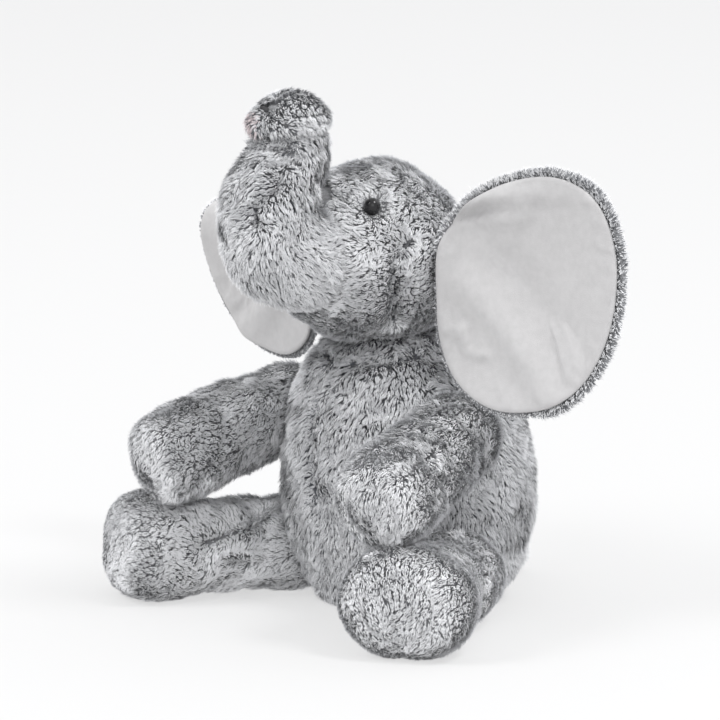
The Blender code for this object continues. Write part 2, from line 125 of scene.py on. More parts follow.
# Creases: a line on the cover, how deep it is drawn in and how wide the dip is; the pile along each is
# painted darker, as painted shade.
TRUNK_CREASES = (
    (
        ((0.0230, -0.1490, 0.3273), (0.0241, -0.1530, 0.3173), (0.0215, -0.1602, 0.3114),
         (0.0134, -0.1669, 0.3029), (0.0151, -0.1666, 0.2933)),
        0.0048, 0.0045,
    ),
    (((0.0300, -0.1220, 0.3160), (0.0275, -0.1183, 0.3120), (0.0260, -0.1080, 0.3080)), 0.0030, 0.0040),
)
HEAD_CREASES = (
    (
        ((0.0572, -0.0630, 0.2712), (0.0567, -0.0696, 0.2598), (0.0562, -0.0710, 0.2521),
         (0.0516, -0.0654, 0.2317), (0.0420, -0.0600, 0.2150)),
        0.0090, 0.0045,
    ),
    (((0.0440, -0.0720, 0.3040), (0.0380, -0.0780, 0.3040), (0.0310, -0.0820, 0.3020)), 0.0012, 0.0030),
)
BODY_CREASES = (
    (
        ((0.0110, -0.0687, 0.1805), (0.0291, -0.0596, 0.1838), (0.0446, -0.0419, 0.1864),
         (0.0494, -0.0285, 0.1882)),
        0.0040, 0.0040,
    ),
    (
        ((-0.0128, -0.0813, 0.1472), (-0.0148, -0.0843, 0.1320), (-0.0125, -0.0866, 0.1145),
         (-0.0061, -0.0880, 0.0820), (-0.0028, -0.0872, 0.0692)),
        0.0036, 0.0040,
    ),
)
ARM_CREASES = (
    (((0.1259, -0.1130, 0.1339), (0.1323, -0.1126, 0.1242), (0.1330, -0.1000, 0.1150)), 0.0040, 0.0050),
    (((0.0817, -0.1317, 0.0928), (0.0783, -0.1299, 0.1003)), 0.0030, 0.0040),
)
LEG_CREASES = (
    (
        ((0.0848, -0.1242, 0.0433), (0.0817, -0.1002, 0.0498), (0.0774, -0.0863, 0.0513),
         (0.0782, -0.0775, 0.0558)),
        0.0062, 0.0060,
    ),
    (((0.0790, -0.1030, 0.0284), (0.0702, -0.0832, 0.0281), (0.0575, -0.0652, 0.0325)), 0.0030, 0.0035),
    (
        ((0.0975, -0.0512, 0.0637), (0.1081, -0.0531, 0.0584), (0.1188, -0.0602, 0.0539),
         (0.1241, -0.0576, 0.0436)),
        0.0046, 0.0040,
    ),
)

FLOOR_GAP = 0.0004
BARE_HEIGHT = 0.0015  # below this the cover rests on the floor and no pile grows
INSET = 0.0030  # how far the cover lies inside the outline that its pile fills
INSET_HEIGHT = 0.012  # how high above the floor the inset reaches its full depth

# How finely the skins are divided: rings along each, and points round a ring.
BODY_GRID = (74, 168)
HEAD_GRID = (70, 144)
TRUNK_GRID = (86, 112)
LIMB_GRID = (76, 100)
TAIL_GRID = (40, 28)
EAR_GRID = (22, 150)

# Cloth: the covers are cut a little large, billow under pressure and stay held at their seams.
CLOTH_FRAMES = 20
CLOTH_PRESSURE = 4.0
CLOTH_GROWTH = 0.02
CLOTH_SINK = 0.0020
LINING_PRESSURE = 3.0
LINING_GROWTH = 0.035

# Pile: blades to a square millimetre of cover, their length and width, and the size of a tuft.
BLADES_PER_MM2 = 1.4
BLADE_LENGTH = 0.0082
BLADE_WIDTH = 0.00072
TUFT_SIZE = 0.0040
MOST_BLADES = 60000  # in one piece

# ---------------------------------------------------------------- numeric helpers


def unit(v):
    v = np.asarray(v, float)
    return v / np.maximum(np.linalg.norm(v, axis=-1, keepdims=True), 1e-12)


def mirrored(point, side):
    return np.array([point[0] * side, point[1], point[2]], float)


def spline(values, places):
    """Catmull-Rom interpolation of rows of values at fractional row numbers."""
    values = np.asarray(values, float)
    padded = np.vstack([2 * values[0] - values[1], values, 2 * values[-1] - values[-2]])
    row = np.minimum(places.astype(int), len(values) - 2)
    t = (places - row)[:, None]
    a, b, c, d = padded[row], padded[row + 1], padded[row + 2], padded[row + 3]
    return 0.5 * (2 * b + (c - a) * t + (2 * a - 5 * b + 4 * c - d) * t**2 + (3 * b - a - 3 * c + d) * t**3)


def lattice(i, j, k, seed):
    """A repeatable number from 0 to 1 for each point of an integer grid."""
    h = (i * 374761393 + j * 668265263 + k * 2147483647 + seed * 974634777) & 0xFFFFFFFF
    h = ((h ^ (h >> 13)) * 1274126177) & 0xFFFFFFFF
    h = ((h ^ (h >> 16)) * 2246822519) & 0xFFFFFFFF
    return ((h ^ (h >> 15)) & 0xFFFFFF) / float(0xFFFFFF)


def noise(points, size, seed):
    """Smooth value noise from -1 to 1 with lumps about this size, in metres."""
    q = points / size + 100.0
    base = np.floor(q).astype(np.int64)
    f = q - base
    f = f * f * (3 - 2 * f)
    total = np.zeros(len(points))
    for di in (0, 1):
        for dj in (0, 1):
            for dk in (0, 1):
                weight = (
                    np.abs(1 - di - f[:, 0]) * np.abs(1 - dj - f[:, 1]) * np.abs(1 - dk - f[:, 2])
                )
                total += weight * lattice(base[:, 0] + di, base[:, 1] + dj, base[:, 2] + dk, seed)
    return total * 2 - 1


def noise3(points, size, seed):
    return np.column_stack([noise(points, size, seed + k) for k in range(3)])


def bell(distance, width):
    return np.exp(-((distance / width) ** 2))


def fade(value, start, length):
    """From 0 at the start to 1 a length further on."""
    return np.clip((value - start) / length, 0, 1)


def circle(count):
    return np.linspace(0, 2 * math.pi, count, endpoint=False)


def link(name, data):
    obj = bpy.data.objects.new(name, data)
    bpy.context.scene.collection.objects.link(obj)
    return obj


def tuft_centres(points, size, seed):
    """For each point the nearest point of a jittered grid, which is the middle of its tuft."""
    q = points / size + 100.0
    base = np.floor(q).astype(np.int64)
    best = np.full(len(points), np.inf)
    centre = np.zeros_like(points)
    tone = np.zeros(len(points))
    for di in (-1, 0, 1):
        for dj in (-1, 0, 1):
            for dk in (-1, 0, 1):
                i, j, k = base[:, 0] + di, base[:, 1] + dj, base[:, 2] + dk
                spot = np.column_stack([
                    i + lattice(i, j, k, seed),
                    j + lattice(i, j, k, seed + 1),
                    k + lattice(i, j, k, seed + 2),
                ])
                gap = ((spot - q) ** 2).sum(1)
                near = gap < best
                best[near] = gap[near]
                centre[near] = spot[near]
                tone[near] = lattice(i, j, k, seed + 3)[near]
    return (centre - 100.0) * size, tone


# ---------------------------------------------------------------- materials


def plain_material(name, colour, roughness=0.85, sheen=0.25):
    material = bpy.data.materials.new(name)
    material.use_nodes = True
    inputs = material.node_tree.nodes["Principled BSDF"].inputs
    inputs["Base Color"].default_value = (*colour, 1)
    inputs["Roughness"].default_value = roughness
    inputs["Sheen Weight"].default_value = sheen
    inputs["Sheen Roughness"].default_value = 0.4
    return material


def add_node(tree, kind, **inputs):
    node = tree.nodes.new(kind)
    for key, value in inputs.items():
        node.inputs[key].default_value = value
    return node


def lumpy_material(name, dark, light, scale, bump, roughness=0.9, sheen=0.3):
    """Two tones in soft lumps, and a fine grain that stands up a little where there is a bump."""
    material = plain_material(name, light, roughness, sheen)
    tree = material.node_tree
    shader = tree.nodes["Principled BSDF"]
    where = tree.nodes.new("ShaderNodeTexCoord")
    tones = add_node(tree, "ShaderNodeTexNoise", Scale=scale, Detail=4.0, Roughness=0.6)
    ramp = tree.nodes.new("ShaderNodeValToRGB")
    ramp.color_ramp.elements[0].position = 0.35
    ramp.color_ramp.elements[0].color = (*dark, 1)
    ramp.color_ramp.elements[1].position = 0.65
    ramp.color_ramp.elements[1].color = (*light, 1)
    tree.links.new(where.outputs["Object"], tones.inputs["Vector"])
    tree.links.new(tones.outputs["Fac"], ramp.inputs["Fac"])
    tree.links.new(ramp.outputs["Color"], shader.inputs["Base Color"])
    if bump:
        grain = add_node(tree, "ShaderNodeTexNoise", Scale=scale * 9, Detail=2.0, Roughness=0.7)
        raised = add_node(tree, "ShaderNodeBump", Strength=bump, Distance=0.0006)
        tree.links.new(where.outputs["Object"], grain.inputs["Vector"])
        tree.links.new(grain.outputs["Fac"], raised.inputs["Height"])
        tree.links.new(raised.outputs["Normal"], shader.inputs["Normal"])
    return material


def grey(value, cool=0.012):
    return (value - cool * 0.5, value - cool * 0.1, value + cool)


def pile_shades(name, values, sheen):
    return [plain_material(f"{name}_{i}", grey(value), sheen=sheen) for i, value in enumerate(values)]


ROOTS = pile_shades("pile_root", (0.13, 0.22), 0.1)
MIDDLES = pile_shades("pile_middle", (0.30, 0.38, 0.47), 0.2)
TIPS = pile_shades("pile_tip", (0.50, 0.63, 0.75, 0.86), 0.3)
PINK = plain_material("pile_tip_pink", (0.58, 0.51, 0.52), sheen=0.3)
PILE = ROOTS + MIDDLES + TIPS + [PINK]
BACKING = lumpy_material("plush_backing", (0.15, 0.152, 0.158), (0.27, 0.273, 0.282), 300.0, 0.5)
VELOUR = lumpy_material(
    "white_velour", (0.445, 0.439, 0.441), (0.480, 0.474, 0.476), 160.0, 0.35, sheen=0.4
)
GLOSS = lumpy_material("eye_gloss", (0.006, 0.006, 0.007), (0.010, 0.010, 0.011), 90.0, 0.0, 0.03, 0.0)
GLOSS.node_tree.nodes["Principled BSDF"].inputs["Specular IOR Level"].default_value = 0.42
WASHER = lumpy_material("washer_plastic", (0.62, 0.62, 0.60), (0.70, 0.70, 0.68), 500.0, 0.1, 0.45, 0.0)
NOSTRIL = plain_material("nostril_near_black", (0.02, 0.02, 0.022), 0.7)

# ---------------------------------------------------------------- skins


class Skin:
    """A closed skin made of rings, and how the pile lies on each of its points.

    length, density and ruffle multiply the pile's own; upright and sway turn it; pale lightens it, and
    darkens it where below 0, which along creases and the cap seam is painted shade; pink colours it; room is
    how far the point lies outside its neighbours.
    """

    def __init__(self, rings, flow_along):
        self.rings = rings
        self.shape = rings.shape[:2]
        rows, around = self.shape
        self.flow_along = flow_along
        self.refresh()
        index = np.arange(rows * around).reshape(rows, around)
        right = np.roll(index, -1, axis=1)
        self.quads = np.stack([index[:-1], right[:-1], right[1:], index[1:]], axis=-1).reshape(-1, 4)
        self.room = np.full(rows * around, 1.0)
        self.length = np.full(rows * around, 1.0)
        self.density = np.full(rows * around, 1.0)
        self.ruffle = np.full(rows * around, 1.0)
        self.upright = np.zeros(rows * around)
        self.sway = np.zeros((rows * around, 3))
        self.pink = np.zeros(rows * around)
        self.pale = np.zeros(rows * around)

    def refresh(self):
        along = np.gradient(self.rings, axis=0)
        wrapped = np.concatenate([self.rings[:, -1:], self.rings, self.rings[:, :1]], axis=1)
        across = np.gradient(wrapped, axis=1)[:, 1:-1]
        normal = unit(np.cross(along, across))
        middle = self.rings.mean(axis=1, keepdims=True)
        if ((self.rings - middle) * normal).sum() < 0:
            normal = -normal
        self.normals = normal.reshape(-1, 3)
        self.points = self.rings.reshape(-1, 3)
        self.along = unit(along).reshape(-1, 3)

    def push(self, amount):
        """Moves each point along its normal."""
        self.rings = self.rings + (self.normals * np.asarray(amount).reshape(-1, 1)).reshape(self.rings.shape)
        self.refresh()

    def all_faces(self):
        rows, around = self.shape
        faces = [tuple(q) for q in self.quads.tolist()]
        faces.append(tuple(range(around))[::-1])
        faces.append(tuple(range((rows - 1) * around, rows * around)))
        return faces

    def triangles(self):
        return np.concatenate([self.quads[:, [0, 1, 2]], self.quads[:, [0, 2, 3]]])

    def mesh(self, name, materials):
        data = bpy.data.meshes.new(name)
        data.from_pydata(self.points.tolist(), [], self.all_faces())
        for material in materials:
            data.materials.append(material)
        data.validate()
        data.shade_smooth()
        obj = link(name, data)
        turn_outward(obj)
        return obj


def turn_outward(obj):
    bm = bmesh.new()
    bm.from_mesh(obj.data)
    bmesh.ops.recalc_face_normals(bm, faces=bm.faces)
    bm.to_mesh(obj.data)
    bm.free()


def settle(skin, held, most, sink=CLOTH_SINK, pressure=CLOTH_PRESSURE, growth=CLOTH_GROWTH):
    """Lets a cover billow and pucker as cloth that is held at its seams, and keeps the capped result.

    No point moves further than most, or further than sink into what the cover holds.
    """
    obj = skin.mesh("settling_cover", [])
    group = obj.vertex_groups.new(name="held")
    for index, weight in enumerate(held.tolist()):
        group.add([index], weight, "REPLACE")
    cloth = obj.modifiers.new("cloth", "CLOTH")
    cloth.settings.use_pressure = True
    cloth.settings.uniform_pressure_force = pressure
    cloth.settings.vertex_group_mass = "held"
    cloth.settings.effector_weights.gravity = 0.0
    cloth.settings.shrink_min = -growth
    cloth.settings.tension_stiffness = 15.0
    cloth.settings.bending_stiffness = 0.3
    cloth.settings.quality = 4
    cloth.collision_settings.use_collision = False
    cloth.point_cache.frame_start = 1
    cloth.point_cache.frame_end = CLOTH_FRAMES
    scene = bpy.context.scene
    for frame_number in range(1, CLOTH_FRAMES + 1):
        scene.frame_set(frame_number)
    settled = obj.evaluated_get(bpy.context.evaluated_depsgraph_get()).data
    places = np.empty(len(settled.vertices) * 3)
    settled.vertices.foreach_get("co", places)
    scene.frame_set(1)
    bpy.data.objects.remove(obj)
    moved = places.reshape(-1, 3) - skin.points
    distance = np.linalg.norm(moved, axis=1, keepdims=True)
    moved *= np.minimum(1.0, most / np.maximum(distance, 1e-9))
    raised = (moved * skin.normals).sum(1, keepdims=True)
    moved += skin.normals * np.maximum(0.0, -sink - raised)
    skin.rings = skin.rings + moved.reshape(skin.rings.shape)
    skin.refresh()


def dip(distance, depth, width):
    return -depth * bell(distance, width)


def part_pile_with_painted_shade(skin, creases, side=1.0):
    """Draws the cover in along each crease, where the pile is shorter and shows its dark roots, and paints
    the pile there darker as painted shade.
    """
    for line, depth, width in creases:
        way = from_line(skin.points, np.array(line) * (side, 1, 1))
        gap = np.linalg.norm(way, axis=1)
        skin.push(dip(gap, depth, width))
        near = bell(gap, 0.8 * width)
        skin.length = skin.length * (1 - 0.45 * near)
        # Painted shade: the pile's colour is made darker along the crease.
        skin.pale = skin.pale - 60.0 * depth * near
        skin.sway = skin.sway + 400.0 * depth * unit(way) * bell(gap, 2.0 * width)[:, None]


def lay_in(skin):
    """Moves the cover in by its inset, less so where it rests on the floor."""
    skin.push(-INSET * np.clip(skin.points[:, 2] / INSET_HEIGHT, 0, 1))


def lumps(skin, seed, size, height):
    coarse = height * noise(skin.points, size, seed)
    skin.push(coarse + 0.4 * height * noise(skin.points, size * 0.45, seed + 9))


def rest_on_floor(skin):
    skin.rings[..., 2] = np.maximum(skin.rings[..., 2], FLOOR_GAP)
    skin.refresh()


def bare_underneath(skin):
    skin.density = np.where(skin.points[:, 2] < BARE_HEIGHT, 0.0, 1.0)


# ---------------------------------------------------------------- shapes of the stuffed parts


def body_skin():
    rows, around = BODY_GRID
    heights, radii = spline(BODY_PROFILE, np.linspace(0, len(BODY_PROFILE) - 1, rows)).T
    lean = BODY_LEAN * np.clip(heights / BODY_LEAN_HEIGHT, 0, None) ** 3
    turn = circle(around)
    rings = np.zeros((rows, around, 3))
    rings[..., 0] = radii[:, None] * np.cos(turn)
    rings[..., 1] = radii[:, None] * np.sin(turn) - lean[:, None]
    rings[..., 2] = heights[:, None]
    skin = Skin(rings, -1.0)
    angle = np.tile(turn, rows)
    radius = np.repeat(radii, around)
    seam = np.abs(np.remainder(angle + math.pi / 4, math.pi / 2) - math.pi / 4) * radius
    raised = np.clip(np.repeat(heights, around) / INSET_HEIGHT, 0, 1)
    lay_in(skin)
    skin.push(dip(seam, *BODY_SEAM) * raised)
    lumps(skin, 11, 0.030, 0.0020)
    settle(skin, np.maximum(bell(seam, 0.006), 1 - raised), 0.0030)
    part_pile_with_painted_shade(skin, BODY_CREASES)
    part_pile_with_painted_shade(skin, BODY_CREASES[:1], -1.0)
    rest_on_floor(skin)
    skin.length *= np.where(seam < 0.0025, 0.75, 1.0)
    bare_underneath(skin)
    return skin


def head_skin():
    middle = JOINTS["head_nod"]["pos_m"]
    rings_yzr = [
        (middle[1] + SKULL_RADIUS * math.cos(polar), middle[2], SKULL_RADIUS * math.sin(polar))
        for polar in np.radians(SKULL_POLARS)
    ]
    furthest = rings_yzr[-1][0] - SNOUT_STEP
    rings_yzr += [(min(y, furthest), z, radius) for y, z, radius in SNOUT]
    rows, around = HEAD_GRID
    y, z, radii = spline(rings_yzr, np.linspace(0, len(rings_yzr) - 1, rows)).T
    turn = circle(around)
    rings = np.zeros((rows, around, 3))
    rings[..., 0] = radii[:, None] * np.sin(turn)
    rings[..., 1] = y[:, None]
    rings[..., 2] = z[:, None] + radii[:, None] * np.cos(turn)
    skin = Skin(rings, 1.0)
    angle = np.tile(turn, rows)
    half = np.minimum(angle, 2 * math.pi - angle)
    off_seam = np.minimum(np.abs(half - CROWN_HALF), np.abs(half - (math.pi - CHIN_HALF)))
    seam = off_seam * np.repeat(radii, around)
    lay_in(skin)
    skin.push(dip(seam, *HEAD_SEAM))
    lumps(skin, 21, 0.026, 0.0016)
    settle(skin, bell(seam, 0.006), 0.0025)
    for _, side in SIDES:
        part_pile_with_painted_shade(skin, HEAD_CREASES, side)
    skin.length *= np.where(seam < 0.002, 0.8, 1.0)
    skin.sway = skin.sway - 2.4 * UP * fade(skin.points[:, 1], -0.005, 0.025)[:, None]
    for side_name, _ in SIDES:
        part_round_eye(skin, side_name)
    return skin


def part_round_eye(skin, side_name):
    """Sinks the cover round an eye and combs the short pile there away from it."""
    centre, _ = eye_place(side_name)
    gap = np.linalg.norm(skin.points - centre, axis=1)
    skin.push(dip(gap, *EYE_SOCKET))
    skin.length *= np.clip(0.26 + (gap - 0.0065) / 0.014, 0.26, 1.0)
    skin.density = np.where(gap < 0.0064, 0.0, skin.density)
    away = unit(skin.points - centre)
    skin.sway = skin.sway + 2.5 * away * np.clip(1 - (gap - 0.008) / 0.010, 0, 1)[:, None]


def node_points(name):
    node = frame["nodes"][name]
    matrix = np.array(node.matrix_world)
    points = np.array([v.co[:] for v in node.data.vertices])
    return points @ matrix[:3, :3].T + matrix[:3, 3]


def eye_place(side_name):
    """Middle of the eye's dome where it meets the cover, and the way it looks out."""
    points = node_points(f"{side_name}_eye")
    washer = node_points(f"{side_name}_eye_washer")
    low, high = washer.min(0), washer.max(0)
    behind = (low + high) / 2
    outward = unit(points.mean(0) - washer.mean(0))
    along = (points - behind) @ outward
    wide = np.linalg.norm((points - behind) - along[:, None] * outward, axis=1)
    seat = behind + outward * along[wide > wide.max() * 0.93].mean()
    return seat, outward


def trunk_skin():
    rows, around = TRUNK_GRID
    path = spline(TRUNK_RINGS, np.linspace(0, len(TRUNK_RINGS) - 1, rows))
    forward = unit(np.gradient(path[:, :2], axis=0))
    forward = np.column_stack([np.zeros(rows), forward])
    upward = np.cross(forward, [1.0, 0.0, 0.0])
    turn = circle(around)
    centre = np.column_stack([np.zeros(rows), path[:, 0], path[:, 1]])
    sideways = np.sin(turn)[None, :, None] * np.array([1.0, 0, 0])
    ring = sideways + np.cos(turn)[None, :, None] * upward[:, None, :]
    skin = Skin(centre[:, None, :] + path[:, 2][:, None, None] * ring, -1.0)
    seam = half_turn_seam(turn, path[:, 2])
    lay_in(skin)
    skin.push(0.8 * INSET * fade(skin.points[:, 2], 0.3500, 0.006))
    skin.push(dip(seam, *TRUNK_SEAM))
    lumps(skin, 27, 0.020, 0.0014)
    settle(skin, bell(seam, 0.005), 0.0022)
    points = skin.points
    cap_seam = points[:, 2] - (CAP_HEIGHT + CAP_SLOPE * (points[:, 1] - CAP_Y))
    skin.push(dip(cap_seam, *CAP_SEAM) + 0.0022 * bell(cap_seam - 0.009, 0.007))
    lip = np.linalg.norm(skin.points - TRUNK_LIP, axis=1)
    skin.push(0.0042 * bell(lip, 0.010))
    nostril = np.linalg.norm(from_line(skin.points, NOSTRIL_SLIT), axis=1)
    skin.push(dip(nostril, *NOSTRIL_DIP))
    near = np.minimum(np.abs(cap_seam), nostril)
    skin.length = 0.95 - 0.30 * bell(near, 0.004)
    # Painted shade: the pile's colour is made darker along the sunk cap seam.
    skin.pale = -0.30 * bell(cap_seam, 0.0022)
    part_pile_with_painted_shade(skin, TRUNK_CREASES)
    skin.length -= 0.22 * np.clip(cap_seam / 0.010, 0, 1) + 0.38 * bell(nostril, 0.005)
    skin.length = np.maximum(skin.length, 0.2)
    skin.density = np.where(nostril < 0.0012, 0.0, 1.0)
    skin.pink = bell(lip, 0.008)
    at_tip = fade(skin.points[:, 2], 0.362, 0.006)[:, None]
    skin.sway = skin.sway + 1.5 * at_tip * unit(np.array([0.35, -0.55, -0.6]))
    return skin


def half_turn_seam(turn, radii):
    """How far each point of a tube is from its two seams, which run along its top and its underside."""
    angle = np.tile(turn, len(radii))
    off_seam = np.minimum(angle, np.minimum(np.abs(angle - math.pi), 2 * math.pi - angle))
    return off_seam * np.repeat(radii, len(turn))


def from_line(points, line):
    """The way from the nearest place of a broken line to each point."""
    line = np.asarray(line, float)
    best = np.full(len(points), np.inf)
    way = np.zeros_like(points)
    for a, b in zip(line, line[1:]):
        d = b - a
        t = np.clip(((points - a) @ d) / (d @ d), 0, 1)
        off = points - a - t[:, None] * d
        gap = np.linalg.norm(off, axis=1)
        near = gap < best
        best[near], way[near] = gap[near], off[near]
    return way


def limb_skin(limb, root, side, seed):
    """An arm or a leg: a rounded root at its joint, a waist, and a wide end closed by a flat pad."""
    end = mirrored(limb["end"], side)
    axis = unit(end - root)
    length = float(np.linalg.norm(end - root))
    across = unit(np.cross(axis, UP)) * side
    upward = unit(np.cross(across, axis)) * side
    r_root, r_waist, r_end = limb["radii"]
    past = limb["past"]
    profile = [
        (-r_root * math.cos(polar), r_root * math.sin(polar)) for polar in np.radians((4, 16, 32, 52, 74))
    ]
    profile += [
        (length * 0.14, r_root),
        (length * 0.42, r_waist),
        (length * 0.72, 0.5 * (r_waist + r_end)),
        (length, r_end),
        (length + past * 0.62, r_end * 0.92),
        (length + past * 0.93, r_end * 0.70),
        (length + past, r_end * 0.56),
        (length + past * 1.02, r_end * 0.30),
        (length + past * 1.04, r_end * 0.06),
    ]
    rows, around = LIMB_GRID
    along, radius = spline(profile, np.linspace(0, len(profile) - 1, rows)).T
    turn = circle(around)
    ring = across * (limb["wide"] * np.sin(turn))[:, None] + upward * np.cos(turn)[:, None]
    skin = Skin(root + axis * along[:, None, None] + ring[None] * radius[:, None, None], 1.0)
    seam = half_turn_seam(turn, radius)
    reach = np.repeat(along, around)
    wide = np.repeat(radius, around)
    pad = np.hypot(reach - (length + past * 0.95), wide - r_end * 0.62)
    any_seam = np.minimum(seam, pad)
    skin.push(dip(seam, *LIMB_SEAM) * (reach < length + past * 0.9) + dip(pad, *PAD_SEAM))
    lumps(skin, seed, 0.022, 0.0016)
    settle(skin, bell(any_seam, 0.005), 0.0022)
    rest_on_floor(skin)
    past_end = fade(reach, length * 0.8, length * 0.25)
    skin.ruffle = 1.0 + 0.5 * past_end
    skin.upright = 0.10 * past_end
    at_end = fade(reach, length + 0.55 * past, 0.3 * past)[:, None]
    skin.sway = skin.sway - 1.6 * at_end * UP
    if limb is LEG:
        end_length, creases = 0.62, LEG_CREASES
        skin.pale = 0.50 - 0.46 * past_end
    else:
        end_length, creases = 0.72, ARM_CREASES
        skin.pale = 0.12 + 0.12 * past_end - 0.38 * bell(wide, 0.62 * r_end) * past_end
    skin.length = np.where(reach > length * 0.97, end_length, np.where(any_seam < 0.002, 0.75, 1.0))
    part_pile_with_painted_shade(skin, creases, side)
    bare_underneath(skin)
    return skin


def tail_skin():
    """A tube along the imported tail, drawn in where its loose tuft begins."""
    points, tuft = node_points("tail"), node_points("tail_tuft")
    root = np.array(JOINTS["tail_swing"]["pos_m"])
    tip = tuft[np.argmax(np.linalg.norm(tuft - root, axis=1))]
    axis = unit(tip - root)
    along, far = (points - root) @ axis, float((tip - root) @ axis)
    radius = np.linalg.norm((points - root) - along[:, None] * axis, axis=1).max()
    seam = far * 0.70
    profile = (
        (-radius, radius * 0.1),
        (-radius * 0.7, radius * 0.7),
        (0.0, radius),
        (seam * 0.5, radius * 0.85),
        (seam * 0.9, radius * 0.7),
        (seam, radius * 0.62),
        (seam + 0.003, radius * 0.95),
        (far * 0.90, radius * 0.8),
        (far * 0.98, radius * 0.4),
        (far, radius * 0.06),
    )
    rows, around = TAIL_GRID
    along, radius = spline(profile, np.linspace(0, len(profile) - 1, rows)).T
    across = unit(np.cross(axis, (1, 0, 0)))
    beside = np.cross(axis, across)
    turn = circle(around)
    ring = across[None, :] * np.cos(turn)[:, None] + beside[None, :] * np.sin(turn)[:, None]
    skin = Skin(root + axis * along[:, None, None] + ring[None] * radius[:, None, None], 1.0)
    skin.length = np.where(np.repeat(along, around) > seam, 1.7, 0.9)
    skin.rings[..., 2] = np.maximum(skin.rings[..., 2], FLOOR_GAP)
    return skin


# ---------------------------------------------------------------- pile


def outward_tree(skin):
    """A search tree whose faces all look outward."""
    triangles = skin.triangles()
    points = skin.points
    facing = face_crosses(points, triangles)
    wrong = (facing * skin.normals[triangles[:, 0]]).sum(1) < 0
    triangles[wrong] = triangles[wrong][:, ::-1]
    return BVHTree.FromPolygons(points.tolist(), triangles.tolist())


def face_crosses(points, triangles):
    a, b, c = points[triangles[:, 0]], points[triangles[:, 1]], points[triangles[:, 2]]
    return np.cross(b - a, c - a)


def keep_clear(skin, others):
    """Measures how far each point of a skin is outside the other skins; inside, no pile grows."""
    room = np.full(len(skin.points), 0.05)
    for other in others:
        for i, point in enumerate(skin.points.tolist()):
            spot, normal, _, gap = other.find_nearest(point, 0.03)
            if spot is None:
                continue
            inside = (Vector(point) - spot).dot(normal) < 0
            room[i] = min(room[i], -gap if inside else gap)
    skin.room = room


def grow_pile(
    name, skin, seed, body, per_mm2=BLADES_PER_MM2, length=BLADE_LENGTH, width=BLADE_WIDTH, pale=0.0,
    lift=0.85, gathered=0.5,
):
    """Cuts a pile for a skin: each blade is a thin ribbon that leans with the nap and bunches in tufts.

    lift is how steeply the blades stand, and gathered how far their tips draw together in a tuft.
    """
    rng = np.random.default_rng(seed)
    triangles = skin.triangles()
    area = 0.5 * np.linalg.norm(face_crosses(skin.points, triangles), axis=1)
    thick = np.where(skin.room > 0.0006, skin.density, 0.0)
    weight = area * thick[triangles].mean(axis=1)
    count = int(weight.sum() * 1e6 * per_mm2 * (1.0))
    chosen = rng.choice(len(triangles), count, p=weight / weight.sum())
    u, v = rng.random((2, count))
    fold = u + v > 1
    u[fold], v[fold] = 1 - u[fold], 1 - v[fold]
    corner = triangles[chosen]

    def mix(values):
        a, b, c = values[corner[:, 0]], values[corner[:, 1]], values[corner[:, 2]]
        if values.ndim == 2:
            return a + (b - a) * u[:, None] + (c - a) * v[:, None]
        return a + (b - a) * u + (c - a) * v

    root = mix(skin.points)
    normal = unit(mix(skin.normals))
    waves = 0.80 * noise3(root, 0.012, seed + 1) + 0.60 * noise3(root, 0.0045, seed + 5)
    nap = unit(mix(skin.along) * skin.flow_along) + mix(skin.sway) + mix(skin.ruffle)[:, None] * waves
    nap = unit(nap - normal * (nap * normal).sum(1, keepdims=True))
    reach = mix(skin.length) * length * np.clip(0.35 + mix(skin.room) / 0.012, 0.3, 1.0)
    reach *= 0.82 + 0.36 * rng.random(count)
    rise = lift + mix(skin.upright) + 0.22 * noise(root, 0.011, seed + 8)
    rise += 0.16 * (rng.random(count) - 0.5)

    def leaning(angle, distance):
        return (normal * np.sin(angle)[:, None] + nap * np.cos(angle)[:, None]) * distance[:, None]

    centre, tone = tuft_centres(root, TUFT_SIZE, seed + 20)
    tip = root + leaning(rise, reach)
    inward = centre - root
    inward -= normal * (inward * normal).sum(1, keepdims=True)
    tip += inward * gathered * (1 + 0.5 * (tone[:, None] - 0.5))
    tip += (rng.random((count, 3)) - 0.5) * 0.0016
    bend = root + leaning(rise + 0.35, reach * 0.58) + inward * 0.22
    root = root - normal * 0.0006
    across = np.cross(tip - root, normal)
    twist = 0.45 * (rng.random((count, 3)) - 0.5) * np.linalg.norm(across, axis=1, keepdims=True)
    half = (width * 0.5 * (0.75 + 0.5 * rng.random(count)))[:, None]
    sideways = unit(across + twist) * half
    corners = np.stack([root - sideways, root + sideways, bend + sideways, bend - sideways, tip], axis=1)
    corners[..., 2] = np.maximum(corners[..., 2], FLOOR_GAP * 0.5)

    shade = 0.5 + 0.20 * noise(root, 0.020, seed + 31) + 0.30 * (tone - 0.5)
    shade += 0.34 * (rng.random(count) - 0.5) + pale + mix(skin.pale)
    low = np.clip(((shade + mix(skin.pale)) * 5).astype(int), 0, 5)
    high = 5 + np.clip(np.floor((shade + 0.06) * 4).astype(int), -3, 3)
    high[mix(skin.pink) > 0.35 + 0.4 * rng.random(count)] = len(PILE) - 1
    parts = max(1, math.ceil(count / MOST_BLADES))
    for part in range(parts):
        keep = slice(part, None, parts)
        piece = name if parts == 1 else f"{name}_{part + 1}"
        pile_object(piece, corners[keep], low[keep], high[keep], body)


